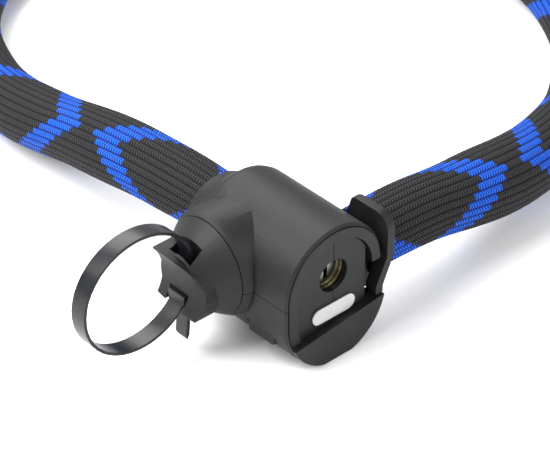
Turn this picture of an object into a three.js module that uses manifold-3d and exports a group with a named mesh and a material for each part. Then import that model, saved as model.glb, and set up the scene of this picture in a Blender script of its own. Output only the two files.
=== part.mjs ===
// Bicycle chain lock: a moulded lock head with a key cylinder, a textile-sleeved steel chain whose free end
// plugs into the head, and a transport bracket with a cable tie. Millimetres, +Z up, front face towards -Y.
// The origin is the centre of the flat foot under the lock head.
import * as THREE from 'three';
import { mergeVertices } from 'three/addons/utils/BufferGeometryUtils.js';
import Module from 'manifold-3d';

const wasm = await Module();
wasm.setup();

// ---------------------------------------------------------------- driving dimensions
const GAP = 0.3;                    // clearance where two pieces meet
const FAR = 200;                    // larger than the lock head, for cutting blocks

const HEAD = {
  radius: 26.3,                     // half width, and radius of the top and bottom arcs
  topZ: 36.4,                       // centre of the top arc
  lowZ: 24.8,                       // centre of the bottom arc
  frontY: -29,
  wall: 2.4,
  splitZ: 33.8,                     // joint between the two casing halves
};
const MOUTH = { y: 42.4, z: 37, halfWidth: 17.9, halfHeight: 15.2, wall: 1.3 };
const FACE = {
  bezelOuter: 24.9,
  bezelInner: 20.3,
  bezelFrontY: -29.6,
  bezelBackY: -23.4,
  plateRadius: 19.9,
  plateFrontY: -28.1,
  plateBackY: -25.7,
  plateRightX: 17.7,
  seamX: 0,
};
const LIP = { radius: 26, frontY: -32, topZ: 16.9, slant: THREE.MathUtils.degToRad(6) };
const NOTCH = { x: 18.6, backY: -5.2, lowZ: 15.4, topZ: 37.2 };
const KEY = { z: 39.4, holeRadius: 7.5 };
const BOSS = { y: 13.7, z: 36.5, radius: 23.8, endRadius: 21.9, shoulderX: -27.3, endX: -30.5, wall: 2.4 };
const BODY = { radius: 17.5, frontY: -20, backY: 20 };
const CYLINDER = { outer: 10, bore: 7.6, frontY: -24.9, backY: 4 };
const CORE = { radius: 7.2, faceY: -23.2, faceDepth: 1.6, backY: 3.6 };
const DRIVER = { radius: 6.6, frontY: 4.3, backY: 6, pinRadius: 1.5, pinThrow: 3, pinBackY: 9.7 };
const LATCH = { stemFrontY: 6.6, stemBackY: 9.4, stemTopZ: 47, footZ: 26.4, footTopZ: 28.8, tipZ: 23.6 };
const TONGUE = { frontY: -16, backY: -6.4, lowZ: 17.6, topZ: 23.2, innerX: -10, outerX: 26.1 };
const WING = { innerX: 27.3, outerX: 31.3, frontY: -31, backY: 1, topZ: 55.9 };
const ARM = { innerX: 21.4, outerX: 25.4, backY: -25, lowZ: 20.2 };
const STUB = { y: -10.8, z: 33, endX: 48, halfWidth: 14.4, halfHeight: 11.7, wall: 2 };
const BRACKET = {
  y: 13.7,
  z: 36.5,
  baseX: -30.9,
  baseRadius: 21.7,
  blockX: -47,
  tipX: -49.3,
  boreRadius: 13.5,
  boreX: -37.9,
};
const TIE = { x: -68.3, z: 43.1, radiusX: 27.6, radiusZ: 26.3, width: 8.2, thickness: 1.4 };
const BUTTON = { frontY: -19.5, backY: -4.5, lowZ: 11.4, topZ: 16.6, outerX: -24.6, innerX: -18.6 };
const SLEEVE = { halfWidth: 16.25, halfHeight: 13.5, wall: 1.2, sides: 12, steps: 24 };
const SCREW_YS = [-15, 8, 17];
const CHAIN = {
  wire: 6,
  width: 22,
  places: 31,                       // link positions round the loop
  openPlace: 15,                    // the position left empty, so that the loop can open there
  pinRadius: 3.2,
  plugPinX: 42.2,
};

// The sleeve's centre line, from the anchor pin in the head, round the loop on the floor, to the plug.
const ROUTE = [
  [0, 29, 37], [0, 45.6, 37], [0, 65, 36.1], [-0.5, 93, 34], [-1, 128, 29], [-1, 160, 22.2],
  [1, 190, 17], [7, 220, 14.2], [19, 250, 13.6], [38, 278, 13.6], [65, 300, 13.6], [98, 313, 13.6],
  [134, 315, 13.6], [169, 308, 13.6], [202, 293, 13.6], [231, 271, 13.6], [255, 243, 13.6],
  [272, 210, 13.6], [281, 174, 13.6], [281, 138, 13.6], [272, 102, 13.6], [255, 68, 13.6],
  [229, 38, 13.8], [196, 14, 15.6], [161, -1, 18.9], [126, -8.5, 23], [92, -10.8, 27.8],
  [64, -10.8, 32], [46, -10.8, 33], [31.6, -10.8, 33],
].map((point) => new THREE.Vector3(...point));

// ---------------------------------------------------------------- materials
function finish(color, roughness, metalness = 0) {
  return () => new THREE.MeshStandardMaterial({ color, roughness, metalness });
}

const MOULDED = finish(0x1d1e20, 0.62);
const GLOSSY = finish(0x101113, 0.3);
const HARD_STEEL = finish(0x8d9196, 0.4, 1);
const ZINC = finish(0xb9bcc0, 0.3, 1);
const BRASS = finish(0xb59a58, 0.35, 1);
const WEAVE = finish(0x17181b, 0.85);
const BADGE_GREY = finish(0xd6d7d8, 0.35);
const RUBBER = finish(0x222326, 0.9);

// ---------------------------------------------------------------- solids
const AXES = {
  X: [new THREE.Vector3(0, 1, 0), new THREE.Vector3(0, 0, 1), new THREE.Vector3(1, 0, 0)],
  Y: [new THREE.Vector3(0, 0, 1), new THREE.Vector3(1, 0, 0), new THREE.Vector3(0, 1, 0)],
  Z: [new THREE.Vector3(1, 0, 0), new THREE.Vector3(0, 1, 0), new THREE.Vector3(0, 0, 1)],
};

// A closed three.js geometry as a manifold-3d solid.
function solid(geometry) {
  const bare = geometry.clone();
  bare.deleteAttribute('normal');
  bare.deleteAttribute('uv');
  const merged = mergeVertices(bare, 1e-4);
  return new wasm.Manifold(new wasm.Mesh({
    numProp: 3,
    vertProperties: new Float32Array(merged.attributes.position.array),
    triVerts: new Uint32Array(merged.index.array),
  }));
}

// A manifold-3d solid back as a three.js geometry.
function surface(body) {
  const mesh = body.getMesh();
  const geometry = new THREE.BufferGeometry();
  geometry.setAttribute('position', new THREE.BufferAttribute(new Float32Array(mesh.vertProperties), 3));
  geometry.setIndex(new THREE.BufferAttribute(new Uint32Array(mesh.triVerts), 1));
  geometry.computeVertexNormals();
  return geometry;
}

// A block between two corners, given as ranges along X, Y and Z.
function block([x0, x1], [y0, y1], [z0, z1]) {
  const geometry = new THREE.BoxGeometry(x1 - x0, y1 - y0, z1 - z0);
  geometry.translate((x0 + x1) / 2, (y0 + y1) / 2, (z0 + z1) / 2);
  return solid(geometry);
}

// An outline extruded along an axis. The outline's two directions are the next two axes in X, Y, Z order.
function prism(outline, axis, from, to) {
  const shape = new THREE.Shape(outline);
  const geometry = new THREE.ExtrudeGeometry(shape, { depth: to - from, bevelEnabled: false });
  geometry.translate(0, 0, from);
  geometry.applyMatrix4(new THREE.Matrix4().makeBasis(...AXES[axis]));
  return solid(geometry);
}

// A point of an outline that lies across the axis, from its X, Y and Z.
function across(axis, x, y, z) {
  const pairs = { X: [y, z], Y: [z, x], Z: [x, y] };
  return new THREE.Vector2(...pairs[axis]);
}

// An ellipse across the axis, centred on a point.
function oval(axis, [x, y, z], first, second, sides) {
  const centre = across(axis, x, y, z);
  return Array.from({ length: sides }, (_, i) => {
    const angle = (2 * Math.PI * (i + 0.5)) / sides;
    return new THREE.Vector2(centre.x + first * Math.cos(angle), centre.y + second * Math.sin(angle));
  });
}

// A round rod, or a tube when it has a bore.
function rod(axis, centre, radius, from, to, { sides = 24, bore = 0 } = {}) {
  const bar = prism(oval(axis, centre, radius, radius, sides), axis, from, to);
  return bore > 0 ? bar.subtract(rod(axis, centre, bore, from - 1, to + 1, { sides })) : bar;
}

// A frustum along X round a centre, from one radius to another.
function cone([y, z], fromX, fromRadius, toX, toRadius, sides = 48) {
  const geometry = new THREE.CylinderGeometry(toRadius, fromRadius, Math.abs(toX - fromX), sides);
  geometry.rotateZ(toX < fromX ? Math.PI / 2 : -Math.PI / 2);
  geometry.translate((fromX + toX) / 2, y, z);
  return solid(geometry);
}

// The head's cross-section: two arcs joined by straight sides, in (Z, X) order for a prism along Y.
function headOutline(radius, topZ = HEAD.topZ, lowZ = HEAD.lowZ, steps = 24) {
  const points = [];
  for (let i = 0; i <= steps; i += 1) {
    const angle = (Math.PI * i) / steps;
    points.push(new THREE.Vector2(topZ + radius * Math.sin(angle), -radius * Math.cos(angle)));
  }
  for (let i = 0; i <= steps; i += 1) {
    const angle = (Math.PI * i) / steps;
    points.push(new THREE.Vector2(lowZ - radius * Math.sin(angle), radius * Math.cos(angle)));
  }
  return points.reverse();
}

// One ring of the head's skin at a given Y, with its own half width and arc heights.
function headRing(y, halfWidth, arcHeight, topZ, lowZ, floorZ, steps = 24) {
  const ring = [];
  for (let i = 0; i <= steps; i += 1) {
    const angle = (Math.PI * i) / steps;
    ring.push([halfWidth * Math.cos(angle), y, topZ + arcHeight * Math.sin(angle)]);
  }
  for (let i = 0; i <= steps; i += 1) {
    const angle = (Math.PI * i) / steps;
    ring.push([-halfWidth * Math.cos(angle), y, Math.max(lowZ - arcHeight * Math.sin(angle), floorZ)]);
  }
  return ring;
}

// A closed skin through rings of equal length, with a fan at each end. Rings run from low Y to high Y.
function loft(rings) {
  const count = rings[0].length;
  const positions = rings.flat(2);
  const index = [];
  rings.slice(1).forEach((_, r) => {
    for (let i = 0; i < count; i += 1) {
      const a = r * count + i;
      const b = r * count + ((i + 1) % count);
      index.push(a, a + count, b, b, a + count, b + count);
    }
  });
  [0, rings.length - 1].forEach((r) => {
    const sum = rings[r].reduce((total, point) => total.map((value, k) => value + point[k]), [0, 0, 0]);
    const hub = positions.length / 3;
    positions.push(...sum.map((value) => value / count));
    for (let i = 0; i < count; i += 1) {
      const a = r * count + i;
      const b = r * count + ((i + 1) % count);
      index.push(...(r === 0 ? [hub, a, b] : [hub, b, a]));
    }
  });
  const geometry = new THREE.BufferGeometry();
  geometry.setAttribute('position', new THREE.Float32BufferAttribute(positions, 3));
  geometry.setIndex(index);
  return solid(geometry);
}

// The half-space above (or below) the lip's slanted top edge, moved up by an offset.
function beyondLip(side, offset) {
  const geometry = new THREE.BoxGeometry(FAR, FAR, FAR);
  geometry.translate(0, 0, (side * FAR) / 2);
  geometry.rotateY(-LIP.slant);
  geometry.translate(0, 0, LIP.topZ + offset);
  return solid(geometry);
}

// ---------------------------------------------------------------- casing
// The outer skin, or with an inset the cavity inside it.
function headSkin(inset) {
  const { radius, topZ, lowZ, frontY } = HEAD;
  const open = inset > 0 ? 1 : 0;
  const floorZ = inset;
  const mouthInset = inset > 0 ? MOUTH.wall : 0;
  const stations = [
    [frontY - open, radius - (open ? inset : 1), radius - (open ? inset : 1), topZ, lowZ],
    [frontY + 1.2, radius - inset, radius - inset, topZ, lowZ],
    [25.5, radius - inset, radius - inset, topZ, lowZ],
    [28.5, radius - 0.9 - inset, radius - 0.9 - inset, topZ, lowZ],
    [31.6, radius - 3.4 - inset, radius - 3.8 - inset, topZ, lowZ + 1.4],
    [35.4, radius - 6.4 - inset, radius - 8.2 - inset, topZ + 0.3, lowZ + 6],
    [38.8, MOUTH.halfWidth + 0.8 - mouthInset, MOUTH.halfHeight + 0.6 - mouthInset, MOUTH.z + 0.3,
      MOUTH.z - 1.4],
    [MOUTH.y + open, MOUTH.halfWidth - mouthInset, MOUTH.halfHeight - mouthInset, MOUTH.z + 0.2,
      MOUTH.z - 0.2],
  ];
  return loft(stations.map(([y, width, height, top, low]) => headRing(y, width, height, top, low, floorZ)));
}

function bossSkin(inset) {
  const { y, z, radius, endRadius, shoulderX, endX, wall } = BOSS;
  const innerX = -6;
  if (inset > 0) {
    return cone([y, z], innerX, radius - inset, endX + wall, radius - inset);
  }
  return cone([y, z], innerX, radius, shoulderX, radius)
    .add(cone([y, z], shoulderX, radius, endX, endRadius));
}

function casing() {
  const window = block(
    [-FAR, -18],
    [BUTTON.frontY - GAP, BUTTON.backY + GAP],
    [BUTTON.lowZ - GAP, BUTTON.topZ + GAP],
  );
  const shell = headSkin(0).add(bossSkin(0))
    .subtract(headSkin(HEAD.wall).add(bossSkin(HEAD.wall)))
    .subtract(prism(headOutline(FACE.bezelOuter + GAP), 'Y', HEAD.frontY - 2, FACE.bezelBackY + GAP))
    .subtract(block([NOTCH.x, FAR], [-FAR, NOTCH.backY], [NOTCH.lowZ, NOTCH.topZ]))
    .subtract(window)
    .subtract(rod('X', [0, BOSS.y, BOSS.z], 3.4, -FAR, -20));
  const screwed = SCREW_YS.reduce((body, y) => body.subtract(rod('Z', [0, y, 0], 3.3, -1, 3)), shell);
  const upper = screwed.intersect(block([-FAR, FAR], [-FAR, FAR], [HEAD.splitZ + GAP / 2, FAR]));
  const lower = screwed.intersect(block([-FAR, FAR], [-FAR, FAR], [-FAR, HEAD.splitZ - GAP / 2]));
  return { upper, lower };
}

// ---------------------------------------------------------------- front face
function frontBezel() {
  return prism(headOutline(FACE.bezelOuter), 'Y', FACE.bezelFrontY, FACE.bezelBackY)
    .subtract(prism(headOutline(FACE.bezelInner), 'Y', -FAR, FAR))
    .intersect(beyondLip(1, GAP))
    .subtract(block([12, FAR], [-FAR, FAR], [-FAR, NOTCH.topZ - GAP]));
}

function facePlate() {
  return prism(headOutline(FACE.plateRadius), 'Y', FACE.plateFrontY, FACE.plateBackY)
    .intersect(beyondLip(1, GAP))
    .intersect(block([-FAR, FACE.plateRightX], [-FAR, FAR], [-FAR, FAR]))
    .subtract(rod('Y', [0, 0, KEY.z], KEY.holeRadius, -FAR, FAR, { sides: 32 }));
}

function badge() {
  const halfLength = 11.6;
  const radius = 3.6;
  const centreX = -0.1;
  const centreZ = 22.6;
  const steps = 10;
  const end = (side) => Array.from({ length: steps + 1 }, (_, i) => {
    const angle = Math.PI * (i / steps + (side < 0 ? 1 : 0));
    return new THREE.Vector2(
      centreZ + radius * Math.cos(angle),
      centreX + side * (halfLength - radius) + radius * Math.sin(angle),
    );
  });
  return prism([...end(1), ...end(-1)], 'Y', -28.9, FACE.plateFrontY - GAP);
}

function lowerBumper() {
  return prism(headOutline(LIP.radius), 'Y', LIP.frontY, FACE.bezelFrontY)
    .add(prism(headOutline(FACE.bezelOuter), 'Y', FACE.bezelFrontY - 0.1, FACE.bezelBackY))
    .intersect(beyondLip(-1, 0))
    .intersect(block([-FAR, FAR], [-FAR, FAR], [0, FAR]));
}

// ---------------------------------------------------------------- lock mechanism
// The Y and Z of the release button's axis.
function buttonCentre() {
  return [(BUTTON.frontY + BUTTON.backY) / 2, (BUTTON.lowZ + BUTTON.topZ) / 2];
}

function steelBody() {
  const lugReach = 35;
  const lugHalfWidth = 7;
  const linkSpace = CHAIN.wire / 2 + GAP;
  const lug = (low, high) => prism([
    new THREE.Vector2(-lugHalfWidth, 15),
    new THREE.Vector2(lugHalfWidth, 15),
    new THREE.Vector2(lugHalfWidth, lugReach - 3),
    new THREE.Vector2(3.5, lugReach),
    new THREE.Vector2(-3.5, lugReach),
    new THREE.Vector2(-lugHalfWidth, lugReach - 3),
  ], 'Z', low, high);
  const tongueWay = block(
    [TONGUE.innerX - 1, FAR],
    [TONGUE.frontY - GAP, TONGUE.backY + GAP],
    [17.2, TONGUE.topZ + GAP],
  );
  const body = prism(headOutline(BODY.radius), 'Y', BODY.frontY, BODY.backY)
    .add(lug(MOUTH.z - linkSpace - 5, MOUTH.z - linkSpace))
    .add(lug(MOUTH.z + linkSpace, MOUTH.z + linkSpace + 5))
    .subtract(rod('Y', [0, 0, KEY.z], CYLINDER.outer + GAP, BODY.frontY - 1, CYLINDER.backY + GAP))
    .subtract(block([-8.6, 8.6], [CYLINDER.backY, 12], [22.6, 52.3]))
    .subtract(block([-5.6, 5.6], [-15, 6], [22.6, 31]))
    .subtract(tongueWay)
    .subtract(rod('Z', [0, ROUTE[0].y, 0], CHAIN.pinRadius + GAP, 20, 54))
    .subtract(block([-11.6, 11.6], [BODY.backY - 2, FAR], [MOUTH.z - linkSpace, MOUTH.z + linkSpace]))
    .subtract(rod('X', [0, ...buttonCentre()], 2.5, -FAR, -11));
  return SCREW_YS.reduce((result, y) => result.subtract(rod('Z', [0, y, 0], 1.9, 2, 11)), body);
}

function lockCore() {
  const length = [CORE.faceY + CORE.faceDepth + GAP, CORE.backY];
  return rod('Y', [0, 0, KEY.z], CORE.radius, ...length)
    .subtract(block([-1.1, 1.1], [-FAR, 0], [KEY.z - 4, KEY.z + 4]));
}

function coreFace() {
  return rod('Y', [0, 0, KEY.z], CORE.radius, CORE.faceY, CORE.faceY + CORE.faceDepth)
    .subtract(block([-1.1, 1.1], [-FAR, FAR], [KEY.z - 4, KEY.z + 4]));
}

function coreDriver() {
  const { radius, frontY, backY, pinRadius, pinThrow, pinBackY } = DRIVER;
  return rod('Y', [0, 0, KEY.z], radius, frontY, backY)
    .add(rod('Y', [pinThrow, 0, KEY.z], pinRadius, backY - 0.5, pinBackY, { sides: 12 }));
}

function latchBolt() {
  const slotHalf = DRIVER.pinRadius + 0.95;
  return block([-8, 8], [LATCH.stemFrontY, LATCH.stemBackY], [LATCH.footZ, LATCH.stemTopZ])
    .add(block([-5, 5], [-14.4, LATCH.stemBackY], [LATCH.footZ, LATCH.footTopZ]))
    .add(block([-3, 3], [-14.4, -8], [LATCH.tipZ, LATCH.footZ + 0.5]))
    .subtract(block([-5.5, 5.5], [-FAR, FAR], [KEY.z - slotHalf, KEY.z + slotHalf]));
}

// A round-wire spring whose turns run from one point to another along an axis, as one open-ended coil.
class Helix extends THREE.Curve {
  constructor(radius, length, turns) {
    super();
    this.radius = radius;
    this.length = length;
    this.turns = turns;
  }

  getPoint(t, target = new THREE.Vector3()) {
    const angle = 2 * Math.PI * this.turns * t;
    return target.set(this.radius * Math.cos(angle), this.radius * Math.sin(angle), this.length * t);
  }
}

function spring(axis, [x, y, z], radius, length, turns) {
  const wire = 0.4;
  const section = Array.from({ length: 6 }, (_, i) => {
    const angle = (Math.PI * i) / 3;
    return new THREE.Vector2(wire * Math.cos(angle), wire * Math.sin(angle));
  });
  const path = new Helix(radius, length - 2 * wire, turns);
  const geometry = new THREE.ExtrudeGeometry(new THREE.Shape(section), {
    extrudePath: path,
    steps: turns * 10,
  });
  geometry.translate(0, 0, wire);
  geometry.applyMatrix4(new THREE.Matrix4().makeBasis(...AXES[axis]));
  geometry.translate(x, y, z);
  return solid(geometry);
}

function screw(y) {
  return rod('Z', [0, y, 0], 2.9, 0.5, 2.3, { sides: 16 })
    .add(rod('Z', [0, y, 0], 1.5, 2, 10, { sides: 12 }))
    .subtract(block([-0.4, 0.4], [y - 2, y + 2], [0, 1.2]));
}

// ---------------------------------------------------------------- plug
function plugHousing() {
  const wing = [
    [-31, 37], [-31, 49.5], [-29.6, 53.2], [-27, 55.3], [-24, WING.topZ], [-11.5, WING.topZ], [-9.3, 54.9],
    [-8.5, 52.8], [-6.4, 45.5], [WING.backY, 39], [WING.backY, 24], [-2, 21], [-18, 21], [-25, 27],
  ].map(([y, z]) => new THREE.Vector2(y, z));
  const arm = [
    [WING.outerX, 40], [WING.outerX, 36.5], [ARM.outerX, 23.5], [ARM.outerX, ARM.lowZ],
    [ARM.innerX, ARM.lowZ], [ARM.innerX, 24], [WING.innerX, 36.5], [WING.innerX, 40],
  ].map(([x, z]) => new THREE.Vector2(z, x));
  const { y, z, halfWidth, halfHeight, wall, endX } = STUB;
  const stubHole = oval('X', [0, y, z], halfWidth - wall, halfHeight - wall, 20);
  const stub = prism(oval('X', [0, y, z], halfWidth, halfHeight, 20), 'X', WING.outerX - 1, endX)
    .subtract(prism(stubHole, 'X', WING.outerX, endX + 1));
  const tongueSlot = block(
    [0, TONGUE.outerX + GAP],
    [TONGUE.frontY - GAP, TONGUE.backY + GAP],
    [17.3, TONGUE.topZ + GAP],
  );
  return prism(wing, 'X', WING.innerX, WING.outerX)
    .add(prism(arm, 'Y', WING.frontY, ARM.backY))
    .add(block([19.2, WING.innerX + 1], [-20, NOTCH.backY - 0.6], [16.2, 35.6]))
    .add(stub)
    .subtract(tongueSlot)
    .subtract(rod('Z', [CHAIN.plugPinX, y, 0], CHAIN.pinRadius + GAP, 20, 50, { sides: 16 }));
}

function plugTongue() {
  return block([TONGUE.innerX, TONGUE.outerX], [TONGUE.frontY, TONGUE.backY], [TONGUE.lowZ, TONGUE.topZ])
    .subtract(block([-3.6, 3.6], [-15, -7.4], [TONGUE.lowZ + 1.2, FAR]));
}

// ---------------------------------------------------------------- chain and sleeve
const route = new THREE.CatmullRomCurve3(ROUTE, false, 'centripetal');
route.arcLengthDivisions = 2000;

// A stretch of the route between two distances along it.
class Stretch extends THREE.Curve {
  constructor(from, to) {
    super();
    this.from = from;
    this.to = to;
  }

  getPoint(t, target = new THREE.Vector3()) {
    return route.getPointAt((this.from + (this.to - this.from) * t) / route.getLength(), target);
  }
}

// The distance along the route that lies nearest to a point.
function distanceAt(point) {
  const total = route.getLength();
  let best = 0;
  let least = Infinity;
  for (let distance = 0; distance <= total; distance += 0.25) {
    const gap = route.getPointAt(distance / total).distanceTo(point);
    if (gap < least) {
      best = distance;
      least = gap;
    }
  }
  return best;
}

// Both tubes start at the head, where the route is level, so the section's long axis stays level.
function sleeveTube(from, to) {
  const { halfWidth, halfHeight, wall, sides, steps } = SLEEVE;
  const ellipse = (a, b) => Array.from({ length: sides }, (_, i) => {
    const angle = (2 * Math.PI * (i + 0.5)) / sides;
    return new THREE.Vector2(a * Math.cos(angle), b * Math.sin(angle));
  });
  const shape = new THREE.Shape(ellipse(halfWidth, halfHeight));
  shape.holes = [new THREE.Path(ellipse(halfWidth - wall, halfHeight - wall))];
  return new THREE.ExtrudeGeometry(shape, { extrudePath: new Stretch(from, to), steps });
}

const NEST = 1.7;                   // how far a square wire stays short of the next link's round end
const PIN_PLAY = CHAIN.pinRadius + 2 * GAP;
const PITCH = (distanceAt(new THREE.Vector3(CHAIN.plugPinX, STUB.y, STUB.z)) + 2 * (PIN_PLAY - GAP - NEST))
  / CHAIN.places;
const LINK_INNER = PITCH + 2 * (GAP + NEST);

// The distance along the route of a link position's centre.
function placeAt(position) {
  return LINK_INNER / 2 - PIN_PLAY + position * PITCH;
}

// A stadium-shaped link of square wire, lying flat along X and centred on the origin.
function chainLink() {
  const { wire, width } = CHAIN;
  const stadium = (radius, halfStraight) => {
    const points = [];
    const steps = 5;
    for (const side of [1, -1]) {
      for (let i = 0; i <= steps; i += 1) {
        const angle = (side * -Math.PI) / 2 + (Math.PI * i) / steps;
        const centre = side * halfStraight;
        points.push(new THREE.Vector2(centre + radius * Math.cos(angle), radius * Math.sin(angle)));
      }
    }
    return points;
  };
  const innerHalf = width / 2 - wire;
  const halfStraight = LINK_INNER / 2 - innerHalf;
  const shape = new THREE.Shape(stadium(width / 2, halfStraight));
  shape.holes = [new THREE.Path(stadium(innerHalf, halfStraight))];
  const geometry = new THREE.ExtrudeGeometry(shape, { depth: wire, bevelEnabled: false });
  geometry.translate(0, 0, -wire / 2);
  return geometry;
}

// ---------------------------------------------------------------- transport bracket
// The cable tie's loop, as the outline of a band seen from the front, in (Z, X) order.
function tieBand(inset, from, to, steps) {
  const ring = (growth) => Array.from({ length: steps + 1 }, (_, i) => {
    const angle = from + ((to - from) * i) / steps;
    return new THREE.Vector2(
      TIE.z + (TIE.radiusZ + growth) * Math.sin(angle),
      TIE.x + (TIE.radiusX + growth) * Math.cos(angle),
    );
  });
  return [...ring(TIE.thickness / 2 + inset), ...ring(-TIE.thickness / 2 - inset).reverse()].reverse();
}

const TIE_HEAD = { x: [-47.4, -38.4], y: [BRACKET.y - 5, BRACKET.y + 5], z: [25.6, 31.2] };

function cableTie() {
  const start = THREE.MathUtils.degToRad(-36);
  const end = THREE.MathUtils.degToRad(322);
  const [low, high] = [BRACKET.y - TIE.width / 2, BRACKET.y + TIE.width / 2];
  const loop = prism(tieBand(0, start, end, 44), 'Y', low, high);
  const tail = prism([
    [31, -43.6], [31, -42], [9.6, -43.8], [7.6, -44.9], [9.4, -45.5],
  ].map(([z, x]) => new THREE.Vector2(z, x)), 'Y', low + 0.6, high - 0.6);
  const head = block(TIE_HEAD.x, TIE_HEAD.y, TIE_HEAD.z);
  return loop.add(head).add(tail);
}

function bracketShell() {
  const { y, z, baseX, baseRadius, blockX, tipX, boreRadius, boreX } = BRACKET;
  const outline = [
    [-13.6, -12], [2, -12.6], [5.6, -10.8], [11, -10.2], [11.4, 8], [11.6, 12.2], [5, 11.8], [-4.6, 9.8],
    [-10.7, 7.2], [-13.4, 5], [-15.7, 1.6], [-16, -3.4], [-14.9, -8.6],
  ].map(([dy, dz]) => new THREE.Vector2(y + dy, z + dz));
  const endBlock = prism(outline, 'X', tipX, -38);
  const body = cone([y, z], baseX, baseRadius, blockX + 1, 11.5).add(endBlock);
  const saddle = rod('Y', [tipX - 13.2, 0, z], 17.5, -FAR, FAR, { sides: 40 });
  const play = 0.6;
  const strapHalf = TIE.width / 2 + play;
  const strapWay = prism(tieBand(0.7, 0, 2 * Math.PI, 44), 'Y', y - strapHalf, y + strapHalf);
  const headPocket = block(
    [-FAR, TIE_HEAD.x[1] + play],
    [TIE_HEAD.y[0] - play, TIE_HEAD.y[1] + play],
    [-FAR, TIE_HEAD.z[1] + play],
  );
  const window = block([-45, -38.6], [y - 6.5, y + 6.5], [44, FAR]);
  return body.subtract(saddle).subtract(strapWay).subtract(headPocket).subtract(window)
    .subtract(rod('X', [0, y, z], boreRadius, boreX, -20, { sides: 32 }));
}

// ---------------------------------------------------------------- assembly
const group = new THREE.Group();
group.name = 'chain_lock';

function place(name, body, material) {
  const geometry = body instanceof THREE.BufferGeometry ? body : surface(body);
  const mesh = new THREE.Mesh(geometry, material());
  mesh.name = name;
  group.add(mesh);
  return mesh;
}

function addHead() {
  const { upper, lower } = casing();
  place('casing_upper', upper, MOULDED);
  place('casing_lower', lower, MOULDED);
  place('front_bezel', frontBezel(), MOULDED);
  const plate = facePlate();
  const rightOfSeam = block([FACE.seamX + GAP / 2, FAR], [-FAR, FAR], [-FAR, FAR]);
  const leftOfSeam = block([-FAR, FACE.seamX - GAP / 2], [-FAR, FAR], [-FAR, FAR]);
  place('face_plate', plate.intersect(rightOfSeam), MOULDED);
  place('face_trim', plate.intersect(leftOfSeam), MOULDED);
  place('badge', badge(), BADGE_GREY);
  place('lower_bumper', lowerBumper(), MOULDED);
  place('casing_screw_front', screw(SCREW_YS[0]), ZINC);
  place('casing_screw_middle', screw(SCREW_YS[1]), ZINC);
  place('casing_screw_rear', screw(SCREW_YS[2]), ZINC);
}

function addMechanism() {
  const keyAxis = [0, 0, KEY.z];
  place('steel_body', steelBody(), HARD_STEEL);
  place('cylinder_housing', rod('Y', keyAxis, CYLINDER.outer, CYLINDER.frontY, CYLINDER.backY,
    { bore: CYLINDER.bore }), BRASS);
  place('lock_core', lockCore(), BRASS);
  place('core_face', coreFace(), ZINC);
  place('core_driver', coreDriver(), ZINC);
  place('latch_bolt', latchBolt(), HARD_STEEL);
  place('latch_spring', spring('Z', [0, 8, LATCH.stemTopZ + GAP], 1.9, 4.6, 4), ZINC);
  place('anchor_pin', rod('Z', [0, ROUTE[0].y, 0], CHAIN.pinRadius, 29.2, 45), HARD_STEEL);
}

function addPlug() {
  place('plug_housing', plugHousing(), MOULDED);
  place('plug_tongue', plugTongue(), HARD_STEEL);
  place('plug_pin', rod('Z', [CHAIN.plugPinX, STUB.y, 0], CHAIN.pinRadius, 22.6, 43.4,
    { sides: 16 }), HARD_STEEL);
}

function addSleeve() {
  const splitAt = placeAt(CHAIN.openPlace);
  const collarAt = distanceAt(new THREE.Vector3(0, 36, MOUTH.z));
  place('sleeve_left', sleeveTube(collarAt, splitAt - GAP), WEAVE);
  place('sleeve_right', sleeveTube(route.getLength(), splitAt + GAP), WEAVE);
}

// Links alternate flat and upright; both end links lie flat round the vertical pins.
function addChain() {
  const places = Array.from({ length: CHAIN.places }, (_, i) => i).filter((i) => i !== CHAIN.openPlace);
  places.forEach((i, order) => {
    const at = placeAt(i) / route.getLength();
    const link = place(`chain_link_${String(order + 1).padStart(2, '0')}`, chainLink(), HARD_STEEL);
    link.position.copy(route.getPointAt(at));
    const along = route.getTangentAt(at);
    const side = new THREE.Vector3(0, 0, 1).cross(along).normalize();
    const up = along.clone().cross(side);
    link.quaternion.setFromRotationMatrix(new THREE.Matrix4().makeBasis(along, side, up));
    link.rotateX((i % 2) * (Math.PI / 2));
  });
}

function addBracket() {
  const { y, z } = BRACKET;
  place('bracket_hub', rod('X', [0, y, z], 11, -37.4, BOSS.endX - GAP, { bore: 3.4 }), MOULDED);
  place('hub_screw', rod('X', [0, y, z], 3, -35.5, -24, { sides: 16 }), ZINC);
  place('bracket_bush', rod('X', [0, y, z], 13.1, -37.3, -31.4, { bore: 11.4, sides: 32 }), RUBBER);
  place('bracket_shell', bracketShell(), MOULDED);
  place('cable_tie', cableTie(), GLOSSY);
}

function addRelease() {
  const { frontY, backY, lowZ, topZ, outerX, innerX } = BUTTON;
  place('release_button', block([outerX, innerX], [frontY, backY], [lowZ, topZ]), MOULDED);
  place('release_spring', spring('X', [innerX + GAP, ...buttonCentre()], 1.7, 4, 3), ZINC);
}

addHead();
addMechanism();
addPlug();
addSleeve();
addChain();
addBracket();
addRelease();

export default group;
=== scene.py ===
"""The looks of a bicycle chain lock: woven sleeve, moulded casing, plug, badge and transport bracket.

Every place is in metres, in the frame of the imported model: X to the plug's side, Y to the rear, Z up, and
the origin under the lock head.
"""

import math

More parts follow.
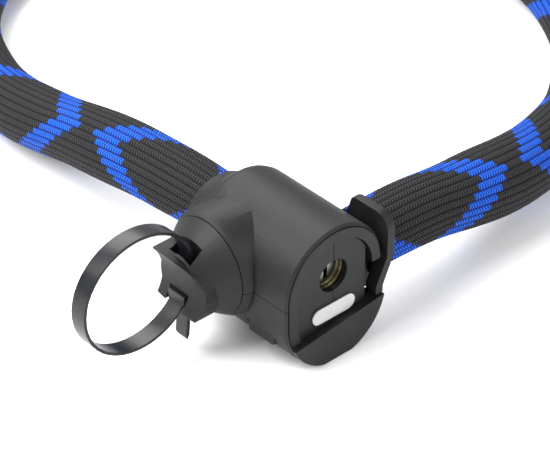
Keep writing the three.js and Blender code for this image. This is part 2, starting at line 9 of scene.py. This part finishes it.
import bmesh
import bpy
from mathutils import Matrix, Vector


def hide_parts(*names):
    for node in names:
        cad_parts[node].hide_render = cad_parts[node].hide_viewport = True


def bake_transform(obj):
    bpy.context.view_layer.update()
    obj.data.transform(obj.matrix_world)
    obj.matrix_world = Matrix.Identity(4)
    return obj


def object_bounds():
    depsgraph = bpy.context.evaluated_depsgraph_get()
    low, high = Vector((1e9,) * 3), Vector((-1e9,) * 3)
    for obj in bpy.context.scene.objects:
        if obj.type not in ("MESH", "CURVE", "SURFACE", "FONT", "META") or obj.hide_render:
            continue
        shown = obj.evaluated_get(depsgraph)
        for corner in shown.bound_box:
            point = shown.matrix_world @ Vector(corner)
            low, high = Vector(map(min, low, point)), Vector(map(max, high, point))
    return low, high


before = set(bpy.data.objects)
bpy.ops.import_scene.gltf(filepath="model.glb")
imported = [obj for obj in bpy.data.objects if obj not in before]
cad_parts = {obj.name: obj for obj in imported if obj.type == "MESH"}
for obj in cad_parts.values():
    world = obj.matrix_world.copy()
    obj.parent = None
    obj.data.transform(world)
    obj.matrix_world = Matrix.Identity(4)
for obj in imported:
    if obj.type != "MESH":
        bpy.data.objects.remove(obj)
CAD_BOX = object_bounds()
MM = 0.001

# ---------------------------------------------------------------- driving values
CAMERA = {
    "azimuth": -41.9,
    "elevation": 35.7,
    "aim": (-0.0089, -0.0030, 0.0551),
    "distance": 0.9,
    "lens": 147,
}

# The chain's centre line: from its pin in the head, round the loop on the floor, and back up to the plug.
ROUTE = [
    (0, 0.029, 0.037), (0, 0.0456, 0.037), (0, 0.065, 0.0361), (-0.0005, 0.093, 0.034),
    (-0.001, 0.128, 0.029), (-0.001, 0.160, 0.0222), (0.001, 0.190, 0.017), (0.007, 0.220, 0.0142),
    (0.019, 0.250, 0.0136), (0.038, 0.278, 0.0136), (0.065, 0.300, 0.0136), (0.098, 0.313, 0.0136),
    (0.134, 0.315, 0.0136), (0.169, 0.308, 0.0136), (0.202, 0.293, 0.0136), (0.231, 0.271, 0.0136),
    (0.255, 0.243, 0.0136), (0.272, 0.210, 0.0136), (0.281, 0.174, 0.0136), (0.281, 0.138, 0.0136),
    (0.272, 0.102, 0.0136), (0.255, 0.068, 0.0136), (0.229, 0.038, 0.0138), (0.196, 0.014, 0.0156),
    (0.161, -0.001, 0.0189), (0.126, -0.0085, 0.023), (0.092, -0.0108, 0.0278), (0.064, -0.0108, 0.032),
    (0.046, -0.0108, 0.033), (0.0316, -0.0108, 0.033),
]
COLLAR_Y = 0.036                    # where the sleeve's end sits, inside the casing's collar
PLUG_SIDE_X = 0.02                  # beyond this, a point in front of the collar is on the plug's arm
SLEEVE = {
    "half_width": 0.01625,
    "half_height": 0.0135,
    "thickness": 0.0011,
    "ribs": 28,
    "rib_height": 0.00045,
    "sides_per_rib": 5,
    "step": 0.0021,
}
LINK_PITCH = 0.0304                 # two links make one ripple of the fabric over them

WELD = 0.00001                      # points closer than this are one
LINK_ROUND = 0.0008                 # the rounds on the chain links' edges

# ---------------------------------------------------------------- node trees


class Field:
    """A number that varies over a surface, so that a formula in a node tree reads as one."""

    def __init__(self, tree, socket):
        self.tree = tree
        self.socket = socket

    def apply(self, operation, *others, clamp=False):
        node = self.tree.nodes.new("ShaderNodeMath")
        node.operation = operation
        node.use_clamp = clamp
        for place, value in enumerate((self, *others)):
            if isinstance(value, Field):
                self.tree.links.new(value.socket, node.inputs[place])
            else:
                node.inputs[place].default_value = value
        return Field(self.tree, node.outputs[0])

    def __add__(self, other):
        return self.apply("ADD", other)

    def __sub__(self, other):
        return self.apply("SUBTRACT", other)

    def __mul__(self, other):
        return self.apply("MULTIPLY", other)

    def __truediv__(self, other):
        return self.apply("DIVIDE", other)

    def ramp(self, low, high, to_low=0.0, to_high=1.0):
        """The field rescaled smoothly, so that low gives to_low and high gives to_high."""
        node = self.tree.nodes.new("ShaderNodeMapRange")
        node.interpolation_type = "SMOOTHSTEP"
        self.tree.links.new(self.socket, node.inputs["Value"])
        for name, value in (("From Min", low), ("From Max", high), ("To Min", to_low), ("To Max", to_high)):
            node.inputs[name].default_value = value
        return Field(self.tree, node.outputs["Result"])


class Surface:
    """A material on Blender's principled shader, and the nodes that its recipe shares."""

    def __init__(self, name, color, roughness, **sockets):
        self.material = bpy.data.materials.new(name)
        self.material.use_nodes = True
        self.tree = self.material.node_tree
        self.shader = self.tree.nodes["Principled BSDF"]
        self.material.diffuse_color = (*color, 1)
        self.shader.inputs["Base Color"].default_value = (*color, 1)
        self.shader.inputs["Roughness"].default_value = roughness
        for key, value in sockets.items():
            self.shader.inputs[key.replace("_", " ").title().replace("Ior", "IOR")].default_value = value

    def node(self, kind, **values):
        made = self.tree.nodes.new(kind)
        for key, value in values.items():
            setattr(made, key, value)
        return made

    def object_place(self, scale=(1, 1, 1)):
        """Object coordinates, stretched by scale."""
        coordinates = self.node("ShaderNodeTexCoord")
        mapping = self.node("ShaderNodeMapping")
        mapping.inputs["Scale"].default_value = scale
        self.tree.links.new(coordinates.outputs["Object"], mapping.inputs["Vector"])
        return mapping.outputs["Vector"]

    def noise(self, size, detail=2.0, stretch=(1, 1, 1)):
        """Smooth noise whose blobs are about size metres across."""
        made = self.node("ShaderNodeTexNoise")
        made.inputs["Scale"].default_value = 1 / size
        made.inputs["Detail"].default_value = detail
        self.tree.links.new(self.object_place(stretch), made.inputs["Vector"])
        return Field(self.tree, made.outputs["Fac"])

    def color(self, field, first, second):
        """Two colours mixed by a field, from first at 0 to second at 1."""
        mix = self.node("ShaderNodeMix", data_type="RGBA")
        self.tree.links.new(field.socket, mix.inputs[0])
        for place, value in ((6, first), (7, second)):
            if isinstance(value, tuple):
                mix.inputs[place].default_value = (*value, 1)
            else:
                self.tree.links.new(value, mix.inputs[place])
        return mix.outputs[2]

    def set_color(self, socket):
        self.tree.links.new(socket, self.shader.inputs["Base Color"])

    def set_roughness(self, field):
        self.tree.links.new(field.socket, self.shader.inputs["Roughness"])

    def bump(self, field, height, strength=1.0):
        made = self.node("ShaderNodeBump")
        made.inputs["Distance"].default_value = height
        made.inputs["Strength"].default_value = strength
        self.tree.links.new(field.socket, made.inputs["Height"])
        self.tree.links.new(made.outputs["Normal"], self.shader.inputs["Normal"])


# ---------------------------------------------------------------- materials


def moulded_black():
    """Black casing plastic with a fine spark-eroded grain."""
    made = Surface("moulded_black", (0.01, 0.01, 0.011), 0.5, specular_ior_level=0.25)
    grain = made.noise(0.00035, 3)
    clouds = made.noise(0.02, 2)
    made.set_color(made.color(clouds.ramp(0.3, 0.7), (0.008, 0.008, 0.009), (0.012, 0.012, 0.013)))
    made.set_roughness(grain * 0.1 + clouds * 0.12 + 0.4)
    made.bump(grain, 0.00006, 0.7)
    return made.material


def satin_black():
    """Smoother black plastic of the plate, the bezel and the plug."""
    made = Surface("satin_black", (0.009, 0.009, 0.01), 0.42, specular_ior_level=0.22)
    grain = made.noise(0.0003, 2)
    clouds = made.noise(0.012, 2)
    made.set_color(made.color(clouds.ramp(0.3, 0.7), (0.007, 0.007, 0.008), (0.011, 0.011, 0.012)))
    made.set_roughness(grain * 0.08 + clouds * 0.1 + 0.36)
    made.bump(grain, 0.00004, 0.5)
    return made.material


def strap_nylon():
    """Glossy nylon of the cable tie, with faint draw lines along it."""
    made = Surface("strap_nylon", (0.008, 0.008, 0.01), 0.28, specular_ior_level=0.25)
    lines = made.noise(0.0004, 2, stretch=(0.05, 4, 0.05))
    clouds = made.noise(0.015, 2)
    made.set_color(made.color(clouds.ramp(0.3, 0.7), (0.006, 0.006, 0.008), (0.01, 0.011, 0.013)))
    made.set_roughness(lines * 0.1 + clouds * 0.1 + 0.2)
    made.bump(lines, 0.00003, 0.5)
    return made.material


def steel():
    """Ground, hardened steel with its grain along Y."""
    made = Surface("hard_steel", (0.2, 0.2, 0.21), 0.38, metallic=1.0)
    grain = made.noise(0.0005, 3, stretch=(1, 0.1, 1))
    made.set_color(made.color(grain, (0.16, 0.16, 0.17), (0.24, 0.24, 0.25)))
    made.set_roughness(grain * 0.2 + 0.28)
    made.bump(grain, 0.00002, 0.5)
    return made.material


def zinc():
    """Plating that has dulled a little towards yellow."""
    made = Surface("zinc", (0.3, 0.29, 0.25), 0.3, metallic=1.0)
    grain = made.noise(0.0006, 2)
    made.set_color(made.color(grain, (0.24, 0.23, 0.19), (0.34, 0.33, 0.29)))
    made.set_roughness(grain * 0.14 + 0.16)
    made.bump(grain, 0.00002, 0.4)
    return made.material


def brass():
    """Turned brass with fine rings round the key's axis."""
    made = Surface("brass", (0.26, 0.23, 0.13), 0.3, metallic=1.0)
    grain = made.noise(0.0004, 2, stretch=(1, 6, 1))
    made.set_color(made.color(grain, (0.2, 0.18, 0.1), (0.3, 0.27, 0.16)))
    made.set_roughness(grain * 0.2 + 0.2)
    made.bump(grain, 0.00002, 0.5)
    return made.material


def rubber():
    """Matt black rubber of the bush."""
    made = Surface("rubber", (0.02, 0.02, 0.021), 0.8)
    grain = made.noise(0.0006, 3)
    made.set_color(made.color(grain, (0.016, 0.016, 0.017), (0.026, 0.026, 0.027)))
    made.set_roughness(grain * 0.15 + 0.7)
    made.bump(grain, 0.00004, 0.6)
    return made.material


def badge_face():
    """Light grey enamel of the plain badge."""
    made = Surface("badge_face", (0.45, 0.45, 0.46), 0.3, specular_ior_level=0.4)
    clouds = made.noise(0.004, 2)
    made.set_color(made.color(clouds, (0.42, 0.42, 0.43), (0.48, 0.48, 0.49)))
    made.set_roughness(clouds * 0.1 + 0.2)
    made.bump(clouds, 0.00003, 0.4)
    return made.material


def weave():
    """Ribbed black sleeve fabric, with blue dashes that step from rib to rib in mirrored zigzags. The
    stitch crowns carry a painted highlight and the gaps between stitches carry painted shade.

    The UV map holds the rib number and the distance from the nearer end in millimetres.
    """
    stitch_length = 1.5
    zigzag_spacing = 54.0
    dash_length = 16.0
    ribs_per_turn = 7.0             # ribs from one turn of a zigzag to the next
    first_turn = 3                  # how far the turns are shifted round the sleeve, in ribs
    step = 4.0                      # how far the dash moves from one rib to the next
    made = Surface("sleeve_weave", (0.02, 0.02, 0.022), 0.62, specular_ior_level=0.15)
    uv = made.node("ShaderNodeUVMap", uv_map="weave")
    split = made.node("ShaderNodeSeparateXYZ")
    made.tree.links.new(uv.outputs["UV"], split.inputs["Vector"])
    across = Field(made.tree, split.outputs["X"])
    along = Field(made.tree, split.outputs["Y"])

    rib = across.apply("FLOOR")
    lean = (across.apply("FRACT") - 0.5).apply("ABSOLUTE")
    stitch = (along / stitch_length + lean * 1.3).apply("FRACT")
    crown = (stitch - 0.5).apply("ABSOLUTE").ramp(0.1, 0.42, 1, 0)
    body = lean.ramp(0.3, 0.47, 1, 0)
    stitch_relief_and_shade = crown * body

    rise = ((rib + first_turn).apply("PINGPONG", ribs_per_turn) - ribs_per_turn / 2) * step
    zigzag = (along / zigzag_spacing).apply("ROUND")
    mirrored = zigzag.apply("PINGPONG", 1.0) * 2 - 1
    off_centre = along - zigzag * zigzag_spacing - rise * mirrored
    inside = off_centre.apply("ABSOLUTE").apply("LESS_THAN", dash_length / 2)

    # Painted highlight on the stitch crowns and painted shade in the gaps between stitches, in both the
    # black and the blue; the same mask also drives the roughness and the bump.
    black = made.color(stitch_relief_and_shade, (0.002, 0.002, 0.0025), (0.028, 0.028, 0.03))
    bright = made.color(stitch_relief_and_shade, (0.001, 0.012, 0.12), (0.01, 0.12, 0.7))
    made.set_color(made.color(inside, black, bright))
    made.set_roughness(stitch_relief_and_shade * -0.15 + 0.7)
    made.bump(stitch_relief_and_shade, 0.00035, 0.9)
    return made.material


MATERIALS = {
    "moulded_black": moulded_black(),
    "satin_black": satin_black(),
    "strap": strap_nylon(),
    "hard_steel": steel(),
    "zinc": zinc(),
    "brass": brass(),
    "rubber": rubber(),
    "badge": badge_face(),
    "sleeve_weave": weave(),
}

# ---------------------------------------------------------------- camera, lights and floor


def direction(azimuth, elevation):
    """The way from the object to a viewer or a light."""
    a, e = math.radians(azimuth), math.radians(elevation)
    return Vector((math.sin(a) * math.cos(e), -math.cos(a) * math.cos(e), math.sin(e)))


def add_camera():
    camera = bpy.data.objects.new("camera", bpy.data.cameras.new("camera"))
    bpy.context.scene.collection.objects.link(camera)
    back = direction(CAMERA["azimuth"], CAMERA["elevation"])
    camera.location = Vector(CAMERA["aim"]) + back * CAMERA["distance"]
    camera.rotation_mode = "QUATERNION"
    camera.rotation_quaternion = (-back).to_track_quat("-Z", "Y")
    camera.data.lens = CAMERA["lens"]
    camera.data.clip_start = 0.01
    camera.data.clip_end = 20
    bpy.context.scene.camera = camera


def add_softbox(name, azimuth, elevation, distance, size, power):
    light = bpy.data.objects.new(name, bpy.data.lights.new(name, "AREA"))
    light.data.shape = "RECTANGLE"
    light.data.size, light.data.size_y = size
    light.data.energy = power
    towards = direction(azimuth, elevation)
    light.location = Vector(CAMERA["aim"]) + towards * distance
    light.rotation_mode = "QUATERNION"
    light.rotation_quaternion = towards.to_track_quat("Z", "Y")
    bpy.context.scene.collection.objects.link(light)


def add_studio():
    bpy.context.scene.view_settings.view_transform = "Standard"
    world = bpy.data.worlds.new("studio")
    world.use_nodes = True
    background = world.node_tree.nodes["Background"]
    background.inputs["Color"].default_value = (1, 1, 1, 1)
    background.inputs["Strength"].default_value = 0.75
    bpy.context.scene.world = world
    add_softbox("softbox_left", -115, 50, 1.1, (0.7, 0.7), 20)
    add_softbox("softbox_front", 10, 35, 1.2, (0.8, 0.6), 7)
    add_softbox("softbox_rear", 160, 45, 1.2, (0.8, 0.5), 12)

    half = 6.0
    clearance = 0.0003
    mesh = bpy.data.meshes.new("floor")
    corners = [(-half, -half, 0), (half, -half, 0), (half, half, 0), (-half, half, 0)]
    mesh.from_pydata(corners, [], [(0, 1, 2, 3)])
    floor = bpy.data.objects.new("floor", mesh)
    bpy.context.scene.collection.objects.link(floor)
    floor.location.z = CAD_BOX[0].z - clearance
    made = Surface("floor", (0.9, 0.9, 0.9), 0.8)
    made.set_color(made.color(made.noise(0.4), (0.89, 0.89, 0.89), (0.92, 0.92, 0.92)))
    floor.data.materials.append(made.material)


# ---------------------------------------------------------------- the sleeve's route


def spline(points, per_segment=24):
    """A centripetal Catmull-Rom curve through the points, closely sampled."""
    points = [Vector(p) for p in points]
    points = [2 * points[0] - points[1], *points, 2 * points[-1] - points[-2]]
    samples = []
    for i in range(1, len(points) - 2):
        p0, p1, p2, p3 = points[i - 1:i + 3]
        t0 = 0.0
        t1 = t0 + (p1 - p0).length ** 0.5
        t2 = t1 + (p2 - p1).length ** 0.5
        t3 = t2 + (p3 - p2).length ** 0.5
        for k in range(per_segment):
            t = t1 + (t2 - t1) * k / per_segment
            a1 = p0 * ((t1 - t) / (t1 - t0)) + p1 * ((t - t0) / (t1 - t0))
            a2 = p1 * ((t2 - t) / (t2 - t1)) + p2 * ((t - t1) / (t2 - t1))
            a3 = p2 * ((t3 - t) / (t3 - t2)) + p3 * ((t - t2) / (t3 - t2))
            b1 = a1 * ((t2 - t) / (t2 - t0)) + a2 * ((t - t0) / (t2 - t0))
            b2 = a2 * ((t3 - t) / (t3 - t1)) + a3 * ((t - t1) / (t3 - t1))
            samples.append(b1 * ((t2 - t) / (t2 - t1)) + b2 * ((t - t1) / (t2 - t1)))
    samples.append(points[-2])
    return samples


def even_steps(samples, step):
    """The same line with points about one step apart."""
    lengths = [0.0]
    for a, b in zip(samples, samples[1:]):
        lengths.append(lengths[-1] + (b - a).length)
    count = round(lengths[-1] / step)
    result = []
    place = 0
    for k in range(count + 1):
        target = lengths[-1] * k / count
        while place < len(lengths) - 2 and lengths[place + 1] < target:
            place += 1
        share = (target - lengths[place]) / (lengths[place + 1] - lengths[place])
        result.append(samples[place].lerp(samples[place + 1], share))
    return result


def line_length(points):
    return sum((b - a).length for a, b in zip(points, points[1:]))


def hump(value, centre, width):
    """A smooth bump of height 1 round a centre."""
    return math.exp(-(((value - centre) / width) ** 2))


def add_object(name, mesh, material):
    made = bpy.data.objects.new(name, mesh)
    bpy.context.scene.collection.objects.link(made)
    mesh.materials.append(MATERIALS[material])
    return made


def sleeve_radius(angle, distance, total):
    """How much wider or narrower than the plain tube the fabric is, as a factor.

    It is gathered at both ends and full a little way from them.
    """
    from_plug = total - distance
    near_head = 1 - 0.08 * hump(distance, 0.006, 0.02) + 0.03 * hump(distance, 0.07, 0.03)
    near_plug = 1 - 0.05 * hump(from_plug, 0, 0.03) + 0.11 * hump(from_plug, 0.085, 0.035)
    over_links = 1 + 0.014 * math.sin(2 * math.pi * distance / (2 * LINK_PITCH))
    # A shallow dent on the left arm's upper left, about 36 mm out from the collar.
    fold = 1 - 0.10 * hump(angle, math.radians(50), 0.3) * hump(distance, 0.042, 0.025)
    return near_head * near_plug * over_links * fold


def add_sleeve():
    """The woven sleeve as one tube from the collar to the plug, with its ribs as real relief."""
    fine = [p for p in spline(ROUTE) if p.y > COLLAR_Y or p.x > PLUG_SIDE_X]
    line = even_steps(fine, SLEEVE["step"])
    total = line_length(line)
    sides = SLEEVE["ribs"] * SLEEVE["sides_per_rib"]
    mesh = bpy.data.meshes.new("textile_sleeve")
    bm = bmesh.new()
    uv_layer = bm.loops.layers.uv.new("weave")
    rings = []
    for k, centre in enumerate(line):
        along = (line[min(k + 1, len(line) - 1)] - line[max(k - 1, 0)]).normalized()
        side = Vector((0, 0, 1)).cross(along).normalized()
        up = along.cross(side)
        distance = total * k / (len(line) - 1)
        ring = []
        for i in range(sides):
            angle = 2 * math.pi * i / sides
            rib = SLEEVE["rib_height"] * (abs(math.sin(math.pi * i / SLEEVE["sides_per_rib"])) - 0.5)
            factor = sleeve_radius(angle, distance, total)
            across = (SLEEVE["half_width"] * factor + rib) * math.cos(angle)
            above = (SLEEVE["half_height"] * factor + rib) * math.sin(angle)
            ring.append(bm.verts.new(centre + side * across + up * above))
        rings.append(ring)
    for k, (first, second) in enumerate(zip(rings, rings[1:])):
        for i in range(sides):
            j = (i + 1) % sides
            face = bm.faces.new((first[i], first[j], second[j], second[i]))
            face.smooth = True
            corners = ((i, k), (i + 1, k), (i + 1, k + 1), (i, k + 1))
            for loop, (u, v) in zip(face.loops, corners):
                distance = total * v / (len(line) - 1)
                loop[uv_layer].uv = (u / SLEEVE["sides_per_rib"], min(distance, total - distance) / MM)
    bmesh.ops.recalc_face_normals(bm, faces=bm.faces)
    bm.to_mesh(mesh)
    bm.free()
    sleeve = add_object("textile_sleeve", mesh, "sleeve_weave")
    wall = sleeve.modifiers.new("wall", "SOLIDIFY")
    wall.thickness = SLEEVE["thickness"]
    wall.offset = -1
    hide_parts("sleeve_left", "sleeve_right")
    return sleeve, line, total


def add_chain():
    """All the links as one piece."""
    links = sorted(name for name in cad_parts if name.startswith("chain_link_"))
    bm = bmesh.new()
    for name in links:
        bm.from_mesh(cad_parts[name].data)
    bmesh.ops.remove_doubles(bm, verts=bm.verts, dist=WELD)
    mesh = bpy.data.meshes.new("steel_chain")
    bm.to_mesh(mesh)
    bm.free()
    chain = add_object("steel_chain", mesh, "hard_steel")
    round_edges(chain, LINK_ROUND)
    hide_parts(*links)
    return chain


def bend_with_plug(piece):
    """The piece's transform is baked into its mesh; the piece is not bent."""
    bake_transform(piece)


# ---------------------------------------------------------------- CAD nodes


def round_edges(piece, width, segments=2):
    """Small rounds on the sharp edges, and smooth shading over the rest."""
    piece.data.shade_smooth()
    weld = piece.modifiers.new("weld", "WELD")
    weld.merge_threshold = WELD
    bevel = piece.modifiers.new("rounds", "BEVEL")
    bevel.width = width
    bevel.segments = segments
    bevel.limit_method = "ANGLE"
    bevel.angle_limit = math.radians(32)
    bevel.harden_normals = True
    piece.modifiers.new("normals", "WEIGHTED_NORMAL").keep_sharp = True


FINISHES = {
    "moulded_black": ["casing_upper", "casing_lower", "bracket_shell", "bracket_hub", "release_button"],
    "satin_black": ["front_bezel", "face_plate", "face_trim", "lower_bumper", "plug_housing"],
    "strap": ["cable_tie"],
    "hard_steel": ["steel_body", "latch_bolt", "anchor_pin", "plug_tongue", "plug_pin"],
    "zinc": ["core_face", "core_driver", "latch_spring", "release_spring", "hub_screw",
             "casing_screw_front", "casing_screw_middle", "casing_screw_rear"],
    "brass": ["cylinder_housing", "lock_core"],
    "rubber": ["bracket_bush"],
    "badge": ["badge"],
    "sleeve_weave": ["sleeve_left", "sleeve_right"],
}
ROUNDS = {
    "casing_upper": 0.0007, "casing_lower": 0.0007, "front_bezel": 0.0006, "face_plate": 0.0003,
    "face_trim": 0.0003, "lower_bumper": 0.0008, "plug_housing": 0.0009, "bracket_shell": 0.0006,
    "cable_tie": 0.0003, "release_button": 0.0005,
}


def dress_cad_nodes():
    for material, names in FINISHES.items():
        for name in names:
            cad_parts[name].data.materials.clear()
            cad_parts[name].data.materials.append(MATERIALS[material])
    for name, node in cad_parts.items():
        if name.startswith("chain_link_"):
            node.data.materials.clear()
            node.data.materials.append(MATERIALS["hard_steel"])
    for name, width in ROUNDS.items():
        round_edges(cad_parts[name], width)


# ---------------------------------------------------------------- the scene
add_camera()
sleeve_piece, sleeve_line, sleeve_length = add_sleeve()
chain_piece = add_chain()
bend_with_plug(sleeve_piece)
bend_with_plug(chain_piece)
add_studio()
dress_cad_nodes()
